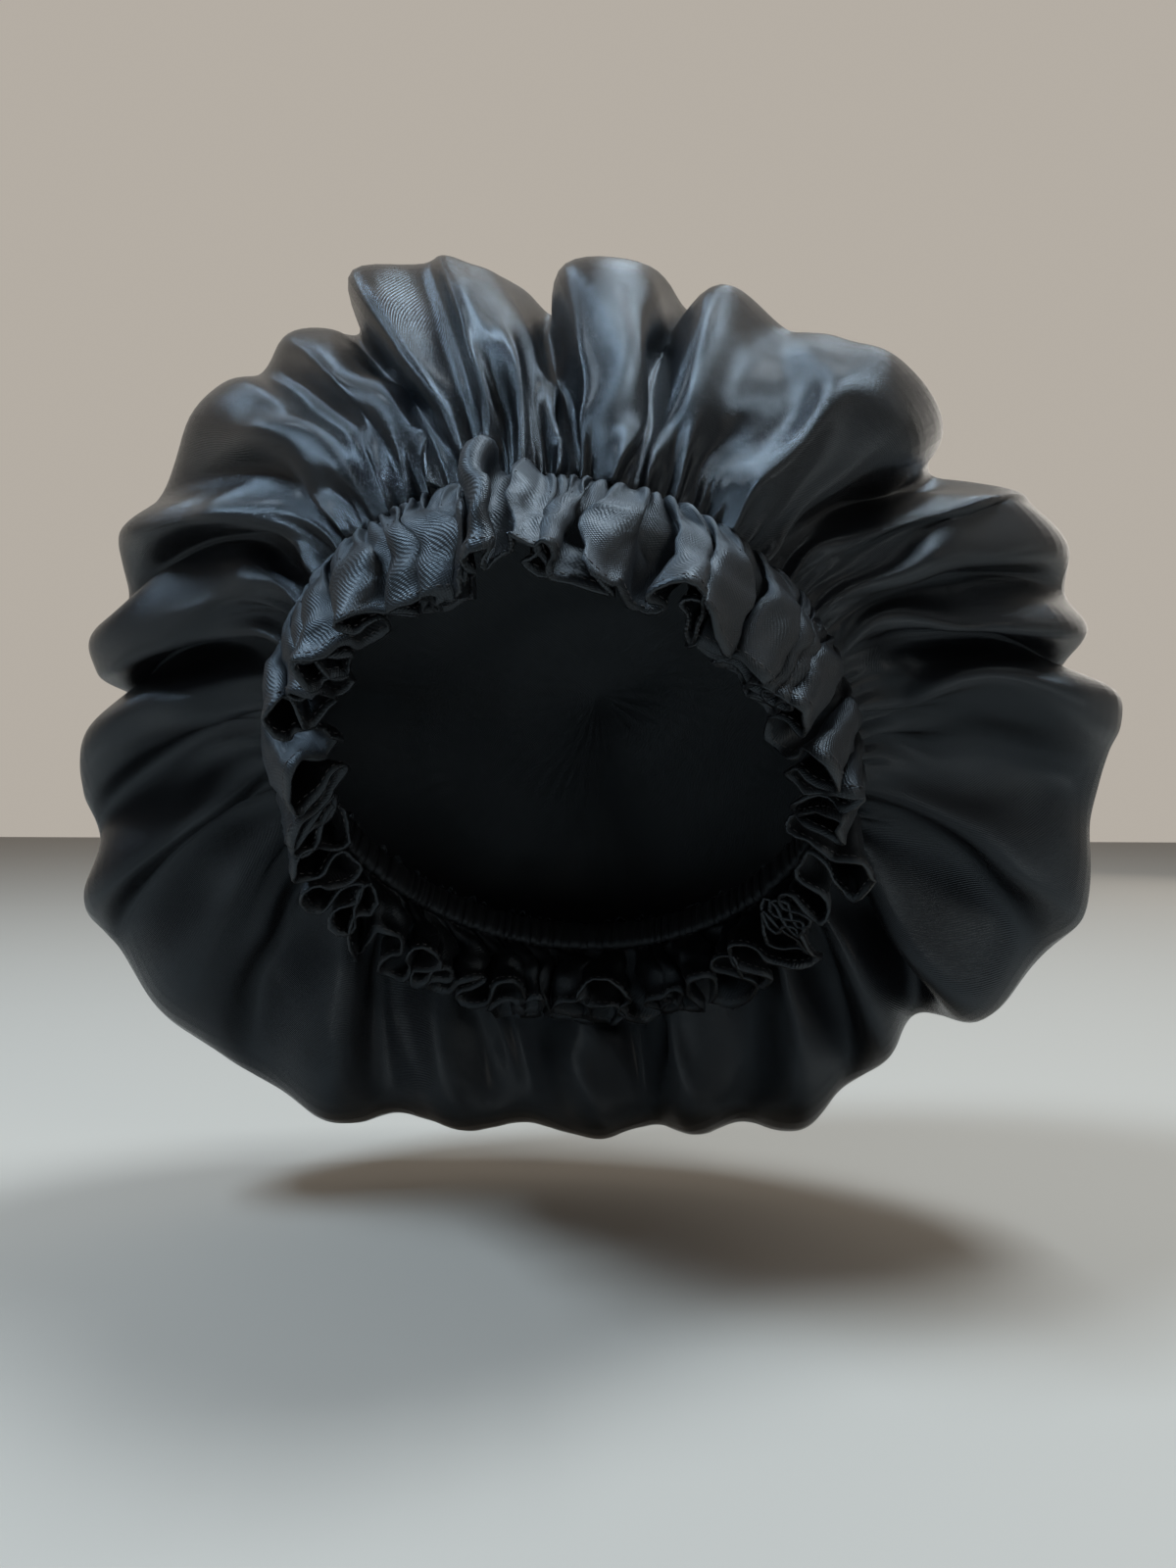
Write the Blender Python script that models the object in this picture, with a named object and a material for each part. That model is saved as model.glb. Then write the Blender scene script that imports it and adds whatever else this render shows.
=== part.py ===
"""Sleep bonnet: a big satin crown gathered on an elastic casing, with a ruffle at its edge.

Metres, +Z up. The front of the bonnet faces -Y and +X is on the right of someone who looks at
the front. The origin is the middle of the head opening.
"""
from math import ceil, cos, floor, pi, radians, sin

import bpy
from mathutils import Vector

# Head opening: an ellipse that slopes from the hairline in front down to the nape behind
OPENING_BREADTH = 0.180
OPENING_LENGTH = 0.206
OPENING_SLOPE = radians(42.5)

# Crown, measured from the middle of the opening
CROWN_REACH = 0.180
CROWN_DEPTH = 0.124
CROWN_MIDDLE_HEIGHT = 0.030
FOLD_HEIGHT = 0.010
FOLD_START = 1.4
LEAVE_RISE = radians(35.0)
LEAVE_RISE_SWING = radians(20.0)
PUFF_LEAVE = 0.36
PUFF_RIM = 0.36
PUFF_RIM_SWING = 0.10
BACK_TAPER = 1.15
BACK_REACH = 0.93
BACK_EVENING = 0.8
PUCKER_HEIGHT = 0.0009
PUCKER_FADE = 0.30

# Cloth and elastic
SATIN = 0.0011
ELASTIC_WIDTH = 0.008
ELASTIC_THICKNESS = 0.0010
CASING_ROOM = 0.0004
GAP = 0.0003

# Ruffle
RUFFLE_DEPTH = 0.022
RUFFLE_FOLDS = 58
RUFFLE_WAVE = 0.0044
RUFFLE_ROOT_WAVE = 0.15
RUFFLE_OVERHANG = 0.0012

# How finely the faces are cut
FOLD_STEP = 3.7
CASING_STEPS = 116
STEPS_PER_PUCKER = 4
ELASTIC_STEPS = 60
STEPS_PER_RUFFLE_FOLD = 4

# Fold lines of the crown, one row each, from the casing out to the rim and on to the middle of
# the back. at: degrees round the opening, from the right over the top. rim: the direction in
# which the fold meets the rim, degrees seen from the front. reach: of CROWN_REACH. back: how far
# behind the opening the rim lies there, of CROWN_DEPTH. puff: ridge or valley, of FOLD_HEIGHT.
FOLD_COLUMNS = ("at", "rim", "reach", "back", "puff")
FOLDS = (
    (6.0, 2.0, 1.020, 0.20, 0.4),
    (12.0, 5.5, 1.022, 0.18, 0.6),
    (17.0, 9.5, 0.955, 0.27, -0.9),
    (21.5, 14.4, 0.990, 0.19, 0.8),
    (26.0, 18.0, 0.982, 0.21, -0.6),
    (30.0, 23.0, 1.000, 0.18, 0.6),
    (34.0, 28.0, 0.985, 0.17, 0.1),
    (37.5, 31.5, 0.970, 0.16, 0.5),
    (40.0, 35.5, 0.928, 0.22, -0.5),
    (43.0, 40.0, 0.885, 0.27, -1.2),
    (46.5, 44.0, 0.900, 0.14, 0.7),
    (52.0, 49.0, 0.916, 0.10, 1.2),
    (58.0, 55.0, 0.885, 0.09, 1.0),
    (64.0, 60.3, 0.872, 0.10, 0.6),
    (68.5, 65.0, 0.888, 0.05, 0.9),
    (72.5, 72.5, 0.880, 0.14, -1.0),
    (77.0, 79.5, 0.902, 0.09, 0.5),
    (81.0, 86.0, 0.874, 0.05, 0.9),
    (84.5, 90.5, 0.852, 0.14, -1.0),
    (88.5, 95.0, 0.882, 0.11, -0.3),
    (93.0, 99.0, 0.914, 0.09, 0.6),
    (97.0, 103.0, 0.926, 0.07, 1.0),
    (99.5, 106.5, 0.968, 0.08, -0.1),
    (102.5, 110.8, 0.974, 0.06, 0.9),
    (106.0, 114.8, 0.936, 0.15, -1.2),
    (110.0, 119.0, 0.938, 0.12, -0.1),
    (114.0, 124.5, 0.952, 0.11, 0.6),
    (117.0, 129.0, 0.958, 0.12, -0.4),
    (120.0, 133.0, 0.966, 0.12, 0.5),
    (124.0, 139.5, 0.973, 0.12, 0.4),
    (128.0, 147.5, 0.968, 0.15, -0.8),
    (133.0, 153.0, 0.970, 0.13, 0.8),
    (140.0, 160.0, 0.955, 0.16, -1.2),
    (148.0, 165.5, 0.962, 0.14, 0.6),
    (155.0, 169.0, 0.955, 0.18, 0.3),
    (162.0, 172.5, 0.925, 0.27, -1.2),
    (167.0, 178.5, 0.965, 0.19, 0.9),
    (175.0, 184.5, 1.003, 0.22, 0.2),
    (180.0, 190.0, 1.012, 0.28, -0.8),
    (186.0, 196.0, 1.050, 0.26, 0.7),
    (191.0, 203.0, 1.056, 0.36, -0.8),
    (197.0, 209.5, 1.036, 0.38, 0.6),
    (204.0, 218.5, 1.016, 0.47, 0.3),
    (209.0, 226.0, 1.000, 0.55, -0.8),
    (216.0, 234.5, 0.975, 0.60, 0.7),
    (226.0, 243.0, 0.900, 0.68, -0.6),
    (237.0, 252.0, 0.880, 0.71, 0.6),
    (250.0, 261.0, 0.842, 0.74, -0.6),
    (264.0, 270.0, 0.848, 0.74, 0.6),
    (278.0, 279.0, 0.836, 0.74, -0.6),
    (292.0, 287.0, 0.862, 0.72, 0.6),
    (303.0, 293.0, 0.872, 0.69, -0.5),
    (311.0, 299.5, 0.914, 0.62, 0.8),
    (318.0, 308.5, 0.898, 0.60, -0.7),
    (325.0, 316.0, 0.897, 0.52, 0.8),
    (331.0, 323.5, 0.885, 0.53, -1.2),
    (336.0, 329.5, 0.960, 0.40, 0.7),
    (342.0, 336.5, 1.000, 0.36, -0.5),
    (348.0, 343.5, 1.030, 0.29, 0.7),
    (357.0, 354.0, 1.005, 0.26, -0.7),
)

# Places between casing and rim, and between rim and the middle of the back, where rings run
FRONT_RINGS = (0.0, 0.07, 0.18, 0.32, 0.47, 0.62, 0.76, 0.89)
BACK_RINGS = (0.0, 0.14, 0.29, 0.45, 0.62, 0.80)

# Places between the ruffle's root and its free edge where rings run
RUFFLE_RINGS = (0.0, 0.45, 1.0)

# How the ruffle lies, one row for each stretch. at: as above. lean: degrees from straight on
# past the casing, towards the head. flare: height of its waves, of RUFFLE_WAVE.
RUFFLE_COLUMNS = ("at", "lean", "flare")
RUFFLE_LIES = (
    (15.0, 44.0, 1.1),
    (45.0, 34.0, 1.0),
    (72.0, 22.0, 0.8),
    (92.0, 10.0, 1.2),
    (100.0, -12.0, 1.5),
    (108.0, 16.0, 1.1),
    (135.0, 32.0, 1.0),
    (165.0, 44.0, 1.0),
    (220.0, 12.0, 1.0),
    (270.0, 0.0, 1.0),
    (320.0, 12.0, 1.0),
)

OPENING_ALONG = Vector((0.0, -cos(OPENING_SLOPE), sin(OPENING_SLOPE)))
OPENING_NORMAL = Vector((0.0, sin(OPENING_SLOPE), cos(OPENING_SLOPE)))
ACROSS = Vector((1.0, 0.0, 0.0))
BACKWARD = Vector((0.0, 1.0, 0.0))


def clear_scene():
    """Removes what the scene holds."""
    for old in list(bpy.data.objects):
        bpy.data.objects.remove(old, do_unlink=True)


def read_round(rows, columns, at):
    """Reads a table that closes on itself at 360 degrees, with a smooth curve through its rows."""
    places = [row[0] for row in rows]
    count = len(rows)
    turn = floor((at - places[0]) / 360.0) * 360.0
    local = at - turn
    low = max(index for index in range(count) if places[index] <= local)

    def knot(index):
        lap, inside = divmod(index, count)
        row = rows[inside]
        return [row[0] + 360.0 * lap] + [
            value + (360.0 * lap if name == "rim" else 0.0)
            for name, value in zip(columns[1:], row[1:])
        ]

    before, start, end, after = (knot(low + step) for step in (-1, 0, 1, 2))
    gap = end[0] - start[0]
    share = (local - start[0]) / gap
    found = {"at": at}
    for column, name in enumerate(columns[1:], 1):
        rise_in = (end[column] - before[column]) / (end[0] - before[0]) * gap
        rise_out = (after[column] - start[column]) / (after[0] - start[0]) * gap
        found[name] = (
            (2 * share**3 - 3 * share**2 + 1) * start[column]
            + (share**3 - 2 * share**2 + share) * rise_in
            + (3 * share**2 - 2 * share**3) * end[column]
            + (share**3 - share**2) * rise_out
        )
    if "rim" in found:
        found["rim"] += turn
    return found


def opening_frame(at):
    """Gives the point of the elastic's line, the way outwards and the way along it."""
    angle = radians(at)
    half_breadth = OPENING_BREADTH / 2
    half_length = OPENING_LENGTH / 2
    point = ACROSS * (half_breadth * cos(angle)) + OPENING_ALONG * (half_length * sin(angle))
    along = ACROSS * (-half_breadth * sin(angle)) + OPENING_ALONG * (half_length * cos(angle))
    along.normalize()
    return point, OPENING_NORMAL.cross(along), along


def casing_size():
    """Gives half the casing's width and half its thickness, outside."""
    half_width = ELASTIC_WIDTH / 2 + CASING_ROOM + SATIN
    half_thickness = ELASTIC_THICKNESS / 2 + CASING_ROOM + SATIN
    return half_width, half_thickness


def crown_point(fold, share, pucker_side):
    """Gives a point of the crown's outside: share 0 is the casing, 1 the rim, 2 the middle."""
    middle = Vector((0.0, CROWN_DEPTH, CROWN_MIDDLE_HEIGHT))
    direction = radians(fold["rim"])
    evened = max(0.0, share - 1.0) ** BACK_EVENING
    reach = (fold["reach"] * (1.0 - evened) + BACK_REACH * evened) * CROWN_REACH
    rim = Vector((reach * cos(direction), fold["back"] * CROWN_DEPTH, reach * sin(direction)))
    if share >= 1.0:
        turn = (share - 1.0) * pi / 2
        spread = cos(turn) ** BACK_TAPER if share < 2.0 else 0.0
        return Vector((
            rim.x * spread,
            rim.y + (middle.y - rim.y) * sin(turn),
            middle.z + (rim.z - middle.z) * spread,
        ))
    start, outward, _ = opening_frame(fold["at"])
    half_width, _ = casing_size()
    start = start + OPENING_NORMAL * (half_width + GAP + PUCKER_HEIGHT)
    rise = LEAVE_RISE + LEAVE_RISE_SWING * sin(radians(fold["at"]))
    span = (rim - start).length
    leave = start + (outward * cos(rise) + OPENING_NORMAL * sin(rise)) * (PUFF_LEAVE * span)
    arrive = rim - BACKWARD * ((PUFF_RIM - PUFF_RIM_SWING * sin(radians(fold["at"]))) * span)
    rest = 1.0 - share
    point = (
        start * rest**3
        + leave * (3 * rest**2 * share)
        + arrive * (3 * rest * share**2)
        + rim * share**3
    )
    slope = (
        (leave - start) * (3 * rest**2)
        + (arrive - leave) * (6 * rest * share)
        + (rim - arrive) * (3 * share**2)
    )
    _, _, along = opening_frame(fold["at"])
    outside = along.cross(slope.normalized()).normalized() * -1.0
    swell = sin(pi * share) ** FOLD_START * fold["puff"] * FOLD_HEIGHT
    gather = pucker_side * PUCKER_HEIGHT * max(0.0, 1.0 - share / PUCKER_FADE)
    return point + outside * (swell + gather)


def make_material(name, colour, roughness, sheen):
    """Makes a cloth material."""
    material = bpy.data.materials.new(name)
    material.use_nodes = True
    shader = material.node_tree.nodes["Principled BSDF"]
    shader.inputs["Base Color"].default_value = (*colour, 1.0)
    shader.inputs["Roughness"].default_value = roughness
    shader.inputs["Metallic"].default_value = 0.0
    shader.inputs["Sheen Weight"].default_value = sheen
    material.diffuse_color = (*colour, 1.0)
    return material


def add_node(name, points, faces, material):
    """Adds one mesh object, shaded smooth."""
    mesh = bpy.data.meshes.new(name)
    mesh.from_pydata([tuple(point) for point in points], [], faces)
    mesh.validate()
    mesh.update()
    mesh.shade_smooth()
    node = bpy.data.objects.new(name, mesh)
    bpy.context.scene.collection.objects.link(node)
    mesh.materials.append(material)
    return node


def add_wall(node, offset):
    """Gives a sheet of cloth its thickness."""
    wall = node.modifiers.new("Cloth", "SOLIDIFY")
    wall.thickness = SATIN
    wall.offset = offset
    wall.use_even_offset = False
    wall.use_quality_normals = True
    return wall


def fold_places():
    """Gives the places round the opening where the crown's columns run: every row and between."""
    places = []
    count = len(FOLDS)
    for index, row in enumerate(FOLDS):
        following = FOLDS[(index + 1) % count][0] + (360.0 if index == count - 1 else 0.0)
        steps = max(1, ceil((following - row[0]) / FOLD_STEP))
        places.extend(row[0] + (following - row[0]) * step / steps for step in range(steps))
    return places


def make_crown(material):
    """Makes the crown: columns along its folds, rings from the casing to the middle of the back."""
    places = fold_places()
    shares = list(FRONT_RINGS) + [1.0 + ring for ring in BACK_RINGS]
    columns = len(places)
    folds = [read_round(FOLDS, FOLD_COLUMNS, at) for at in places]
    points = []
    for share in shares:
        for index, fold in enumerate(folds):
            points.append(crown_point(fold, share, 1.0 if index % 2 else -1.0))
    faces = []
    for ring in range(len(shares) - 1):
        for column in range(columns):
            beside = (column + 1) % columns
            low, high = ring * columns, (ring + 1) * columns
            faces.append((low + column, high + column, high + beside, low + beside))
    points.append(crown_point(folds[0], 2.0, 0.0))
    last = (len(shares) - 1) * columns
    for column in range(columns):
        faces.append((last + column, len(points) - 1, last + (column + 1) % columns))
    crown = add_node("crown", points, faces, material)
    add_wall(crown, -1.0)
    return crown


def make_ring(name, section, steps, material):
    """Makes a closed ring from a section, a list of (outward, past the opening) at each place."""
    points = []
    for step in range(steps):
        at = 360.0 * step / steps
        centre, outward, _ = opening_frame(at)
        for out, past in section(at):
            points.append(centre + outward * out + OPENING_NORMAL * past)
    size = len(points) // steps
    faces = []
    for step in range(steps):
        here, there = step * size, ((step + 1) % steps) * size
        for corner in range(size):
            beside = (corner + 1) % size
            faces.append((here + corner, here + beside, there + beside, there + corner))
    return add_node(name, points, faces, material)


def casing_section(at):
    """Gives the casing's section: a fold of satin round the elastic, open towards the crown."""
    half_width, half_thickness = casing_size()
    gather = PUCKER_HEIGHT * sin(radians(at) * CASING_STEPS / STEPS_PER_PUCKER)
    outer = half_thickness + PUCKER_HEIGHT + gather
    inner = -half_thickness
    return (
        (inner, half_width),
        (inner, -half_width),
        (outer, -half_width),
        (outer, half_width),
        (outer - SATIN, half_width),
        (outer - SATIN, SATIN - half_width),
        (inner + SATIN, SATIN - half_width),
        (inner + SATIN, half_width),
    )


def elastic_section(_):
    """Gives the elastic's section: a flat band, the same all round."""
    half_width = ELASTIC_WIDTH / 2
    half_thickness = ELASTIC_THICKNESS / 2
    return (
        (-half_thickness, half_width),
        (-half_thickness, -half_width),
        (half_thickness, -half_width),
        (half_thickness, half_width),
    )


def make_ruffle(material):
    """Makes the ruffle: waves that grow from the casing to the free edge."""
    steps = RUFFLE_FOLDS * STEPS_PER_RUFFLE_FOLD
    half_width, _ = casing_size()
    points = []
    for step in range(steps):
        at = 360.0 * step / steps
        lie = read_round(RUFFLE_LIES, RUFFLE_COLUMNS, at)
        centre, outward, along = opening_frame(at)
        phase = 2 * pi * step / STEPS_PER_RUFFLE_FOLD
        lean = radians(lie["lean"])
        run = OPENING_NORMAL * -cos(lean) - outward * sin(lean)
        stand = outward * cos(lean) - OPENING_NORMAL * sin(lean)
        root = centre - OPENING_NORMAL * (half_width + GAP + SATIN / 2)
        for share in RUFFLE_RINGS:
            grown = RUFFLE_ROOT_WAVE + (1.0 - RUFFLE_ROOT_WAVE) * share
            height = grown * lie["flare"] * RUFFLE_WAVE
            points.append(
                root
                + run * (RUFFLE_DEPTH * share)
                + outward.lerp(stand, share) * (height * (sin(phase + pi / 4) + share))
                - along * (RUFFLE_OVERHANG * share * sin(2 * phase + pi / 2))
            )
    size = len(RUFFLE_RINGS)
    faces = []
    for step in range(steps):
        here, there = step * size, ((step + 1) % steps) * size
        for corner in range(size - 1):
            faces.append((here + corner, here + corner + 1, there + corner + 1, there + corner))
    ruffle = add_node("ruffle", points, faces, material)
    add_wall(ruffle, 0.0)
    return ruffle


def main():
    """Builds the bonnet."""
    clear_scene()
    satin = make_material("satin_black", (0.010, 0.010, 0.012), 0.38, 0.25)
    band = make_material("elastic_black", (0.020, 0.020, 0.021), 0.80, 0.10)
    make_crown(satin)
    make_ring("elastic_casing", casing_section, CASING_STEPS, satin)
    make_ring("elastic", elastic_section, ELASTIC_STEPS, band)
    make_ruffle(satin)


main()
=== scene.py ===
"""Looks of the black satin sleep bonnet, in the form that it has when worn."""
from math import cos, floor, pi, radians, sin, sqrt

import bpy
import numpy as np
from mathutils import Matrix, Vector, noise


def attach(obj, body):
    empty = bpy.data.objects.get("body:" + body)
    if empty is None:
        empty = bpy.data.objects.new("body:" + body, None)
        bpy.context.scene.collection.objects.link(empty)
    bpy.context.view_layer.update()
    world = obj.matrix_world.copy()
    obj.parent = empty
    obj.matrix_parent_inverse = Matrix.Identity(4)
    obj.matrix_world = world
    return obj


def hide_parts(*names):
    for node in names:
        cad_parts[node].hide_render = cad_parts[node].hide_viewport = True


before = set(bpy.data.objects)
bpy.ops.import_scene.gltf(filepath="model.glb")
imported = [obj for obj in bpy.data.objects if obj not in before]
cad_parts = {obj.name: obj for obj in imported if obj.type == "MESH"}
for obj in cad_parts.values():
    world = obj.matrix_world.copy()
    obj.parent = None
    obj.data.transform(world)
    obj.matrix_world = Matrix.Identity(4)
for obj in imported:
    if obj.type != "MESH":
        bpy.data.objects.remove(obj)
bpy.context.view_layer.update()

# Head opening, as the solids have it
OPENING_BREADTH = 0.180
OPENING_LENGTH = 0.206
OPENING_SLOPE = radians(42.5)
ELASTIC_WIDTH = 0.008
ELASTIC_THICKNESS = 0.0010
CASING_ROOM = 0.0004
CASING_WALL = 0.0011

# Crown, as the solids have it
CROWN_REACH = 0.180
CROWN_DEPTH = 0.124
CROWN_MIDDLE_HEIGHT = 0.030
FOLD_HEIGHT = 0.010
FOLD_START = 1.4
LEAVE_RISE = radians(35.0)
LEAVE_RISE_SWING = radians(20.0)
PUFF_LEAVE = 0.36
PUFF_RIM = 0.36
PUFF_RIM_SWING = 0.10
BACK_TAPER = 1.15
BACK_REACH = 0.93
BACK_EVENING = 0.8

# The cut of the cloth: one circle, with the casing sewn inside its edge
CASING_RADIUS = 0.330
CASING_CUT = 0.011
RUFFLE_CUT = 0.036
SATIN = 0.00035
HEM = 0.0010

# Fold lines of the crown, as the solids have them. lean: how far a ridge tips over the next
# fold, of LEAN_MOST, towards the larger angles.
FOLD_COLUMNS = ("at", "rim", "reach", "back", "puff", "lean")
FOLDS = (
    (6.0, 2.0, 1.020, 0.20, 0.4, 0.0),
    (12.0, 5.5, 1.022, 0.18, 0.6, 0.3),
    (17.0, 9.5, 0.955, 0.27, -0.9, 0.0),
    (21.5, 14.4, 0.990, 0.19, 0.8, -0.3),
    (26.0, 18.0, 0.982, 0.21, -0.6, 0.0),
    (30.0, 23.0, 1.000, 0.18, 0.6, -0.3),
    (34.0, 28.0, 0.985, 0.17, 0.1, 0.0),
    (37.5, 31.5, 0.970, 0.16, 0.5, -0.4),
    (40.0, 35.5, 0.928, 0.22, -0.5, -0.4),
    (43.0, 40.0, 0.885, 0.27, -1.2, -0.6),
    (46.5, 44.0, 0.900, 0.14, 0.7, -0.8),
    (52.0, 49.0, 0.916, 0.10, 1.2, 0.0),
    (58.0, 55.0, 0.885, 0.09, 1.0, 0.0),
    (64.0, 60.3, 0.872, 0.10, 0.6, 0.2),
    (68.5, 65.0, 0.888, 0.05, 0.9, 0.9),
    (72.5, 72.5, 0.880, 0.14, -1.0, 0.3),
    (77.0, 79.5, 0.902, 0.09, 0.5, 0.0),
    (81.0, 86.0, 0.874, 0.05, 0.9, 0.8),
    (84.5, 90.5, 0.852, 0.14, -1.0, 0.3),
    (88.5, 95.0, 0.882, 0.11, -0.3, 0.0),
    (93.0, 99.0, 0.914, 0.09, 0.6, 0.3),
    (97.0, 103.0, 0.926, 0.07, 1.0, 0.2),
    (99.5, 106.5, 0.968, 0.08, -0.1, 0.0),
    (102.5, 110.8, 0.974, 0.06, 0.9, 0.8),
    (106.0, 114.8, 0.936, 0.15, -1.2, 0.4),
    (110.0, 119.0, 0.938, 0.12, -0.1, 0.0),
    (114.0, 124.5, 0.952, 0.11, 0.6, 0.0),
    (117.0, 129.0, 0.958, 0.12, -0.4, 0.0),
    (120.0, 133.0, 0.966, 0.12, 0.5, 0.0),
    (124.0, 139.5, 0.973, 0.12, 0.4, 0.0),
    (128.0, 147.5, 0.968, 0.15, -0.8, 0.0),
    (133.0, 153.0, 0.970, 0.13, 0.8, 0.5),
    (140.0, 160.0, 0.955, 0.16, -1.2, 0.2),
    (148.0, 165.5, 0.962, 0.14, 0.6, 0.3),
    (155.0, 169.0, 0.955, 0.18, 0.3, 0.6),
    (162.0, 172.5, 0.925, 0.27, -1.2, 0.0),
    (167.0, 178.5, 0.965, 0.19, 0.9, -0.5),
    (175.0, 184.5, 1.003, 0.22, 0.2, 0.0),
    (180.0, 190.0, 1.012, 0.28, -0.8, 0.0),
    (186.0, 196.0, 1.050, 0.26, 0.7, 0.3),
    (191.0, 203.0, 1.056, 0.36, -0.8, 0.0),
    (197.0, 209.5, 1.036, 0.38, 0.6, 0.3),
    (204.0, 218.5, 1.016, 0.47, 0.3, 0.0),
    (209.0, 226.0, 1.000, 0.55, -0.8, 0.0),
    (216.0, 234.5, 0.975, 0.60, 0.7, 0.3),
    (226.0, 243.0, 0.900, 0.68, -0.6, 0.0),
    (237.0, 252.0, 0.880, 0.71, 0.6, -0.3),
    (250.0, 261.0, 0.842, 0.74, -0.6, 0.0),
    (264.0, 270.0, 0.848, 0.74, 0.6, 0.3),
    (278.0, 279.0, 0.836, 0.74, -0.6, 0.0),
    (292.0, 287.0, 0.862, 0.72, 0.6, -0.3),
    (303.0, 293.0, 0.872, 0.69, -0.5, 0.0),
    (311.0, 299.5, 0.914, 0.62, 0.8, 0.3),
    (318.0, 308.5, 0.898, 0.60, -0.7, 0.0),
    (325.0, 316.0, 0.897, 0.52, 0.8, 0.0),
    (331.0, 323.5, 0.885, 0.53, -1.2, -0.3),
    (336.0, 329.5, 0.960, 0.40, 0.7, -0.8),
    (342.0, 336.5, 1.000, 0.36, -0.5, 0.0),
    (348.0, 343.5, 1.030, 0.29, 0.7, 0.0),
    (357.0, 354.0, 1.005, 0.26, -0.7, 0.0),
)

OPENING_ALONG = Vector((0.0, -cos(OPENING_SLOPE), sin(OPENING_SLOPE)))
OPENING_NORMAL = Vector((0.0, sin(OPENING_SLOPE), cos(OPENING_SLOPE)))
ACROSS = Vector((1.0, 0.0, 0.0))
BACKWARD = Vector((0.0, 1.0, 0.0))

# How far a leaning ridge tips over: most of it half way between casing and rim
LEAN_MOST = 0.014
LEAN_SPAN = 1.30
LEAN_AT_RIM = sin(pi / LEAN_SPAN) ** 2

# Crown's mesh before it is made finer
CROWN_COLUMNS = 336
CROWN_RINGS = 34
RING_CROWDING = 1.35
FEWER_COLUMNS_UNDER = 0.0030
MERIDIAN_SAMPLES = 64

# Folds narrower than this are left out near the middle of the back
SOFT_BACK_FOLD = 0.08
SOFT_BACK_FROM = 0.13
SOFT_BACK_BLEND = 0.07
SOFT_MIDDLE_FROM = 0.20

# Crown's cloth
GATHER_LEFT = 0.50
GATHER_SPREAD = 0.110
CLOTH_FRAMES = 30
CLOTH_VERTEX_MASS = 0.0001
CLOTH_PRESSURE = 8.0
GOAL_WEIGHT = 0.35
START_NOISE = 0.0008

# Noise vectors start from the clock unless they are given a seed
NOISE_SEED = 11

# Gathers of crown, casing and ruffle: three fine puckers in each fold of the ruffle
RUFFLE_FOLDS = 48
PUCKERS = 3 * RUFFLE_FOLDS
STEPS_PER_FOLD = 24
PUCKER_TURN = 1.60
FOLD_TURN = 2.06
TURN_SPREAD = 0.12

# One more fold is squeezed in above the brow, where two narrow folds stand up side by side
NARROW_FOLDS_AT = 0.2667
NARROW_FOLDS_SPAN = 0.006
PHASE_START = 6.96

# Crown's gathers, one row for each size of pleat: how many go round, how high they stand, how
# far from the casing they are highest, how far out they die away
PLEATS = (
    (PUCKERS, 0.0010, 0.000, 0.009),
    (PUCKERS // 2, 0.0014, 0.008, 0.016),
    (PUCKERS // 4, 0.0016, 0.020, 0.028),
    (PUCKERS // 8, 0.0014, 0.045, 0.050),
)
PLEAT_UNEVEN = 0.85
PLEAT_WANDER = 0.9
PLEAT_WANDER_STARTS = 0.02
PLEAT_LOW_END = 0.35

# Soft creases of the crown, one row for each size. Those near the casing run outwards: height,
# how many round, how many from casing to middle, seed. Those of the back run any way: height,
# how many in a metre, seed.
CREASES = (
    (0.0020, 22.0, 4.0, 3.0),
    (0.0006, 50.0, 9.0, 7.0),
)
BACK_CREASES = (
    (0.0085, 9.0, 1.0),
    (0.0050, 18.0, 5.0),
)
CREASE_ROUNDING = 0.12
CREASE_LEVEL = 0.64
BACK_ROUNDING = 0.40
BACK_LEVEL = 0.35
BACK_STARTS = 0.10
BACK_WHOLE = 0.21
CREASE_STARTS = 0.03

# Ruffle: one layer of cloth that covers the casing's outside and hangs past it
RUFFLE_DEPTH = 0.0245
RUFFLE_RINGS = 12
CHANNEL_RINGS = 6
RUFFLE_CLEAR = 0.0025
RUFFLE_FLAT = 0.95
RUFFLE_TUMBLE = 0.60
RUFFLE_TWIST = 0.0050
RUFFLE_DENT = 0.0022
RUFFLE_DENTS_IN_METRE = 140.0
RUFFLE_TWISTS_IN_METRE = 55.0
ROOT_STANDS_OVER = 0.40
CHANNEL_CLEAR = 0.0004
CHANNEL_PINCH = 0.35
SEAM_PINCH = 0.75
CHANNEL_OPENED = 0.50
CASING_SECTION = 16
CASING_PUCKER = 0.0004

# How the ruffle lies. at: degrees round the opening. lean: degrees from straight on past the
# casing, towards the head. flare: height of its folds. root: their height where they leave the
# casing, as a share. reach: of RUFFLE_DEPTH.
RUFFLE_COLUMNS = ("at", "lean", "flare", "root", "reach")
RUFFLE_LIES = (
    (15.0, 38.0, 0.85, 0.42, 1.00),
    (30.0, 36.0, 0.75, 0.40, 1.00),
    (45.0, 33.0, 0.66, 0.40, 1.00),
    (60.0, 30.0, 0.58, 0.40, 1.00),
    (72.0, 28.0, 0.56, 0.40, 1.03),
    (84.0, 26.0, 0.56, 0.40, 1.00),
    (90.0, 24.0, 0.56, 0.40, 1.00),
    (92.5, 10.0, 0.80, 1.00, 1.06),
    (98.5, 8.0, 0.85, 1.00, 1.04),
    (101.0, 24.0, 0.56, 0.40, 1.00),
    (116.0, 28.0, 0.58, 0.40, 0.97),
    (135.0, 33.0, 0.66, 0.40, 1.00),
    (165.0, 38.0, 0.85, 0.42, 1.00),
    (220.0, 12.0, 0.85, 0.30, 1.00),
    (270.0, 0.0, 0.85, 0.30, 1.00),
    (320.0, 12.0, 0.85, 0.30, 1.00),
)


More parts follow.
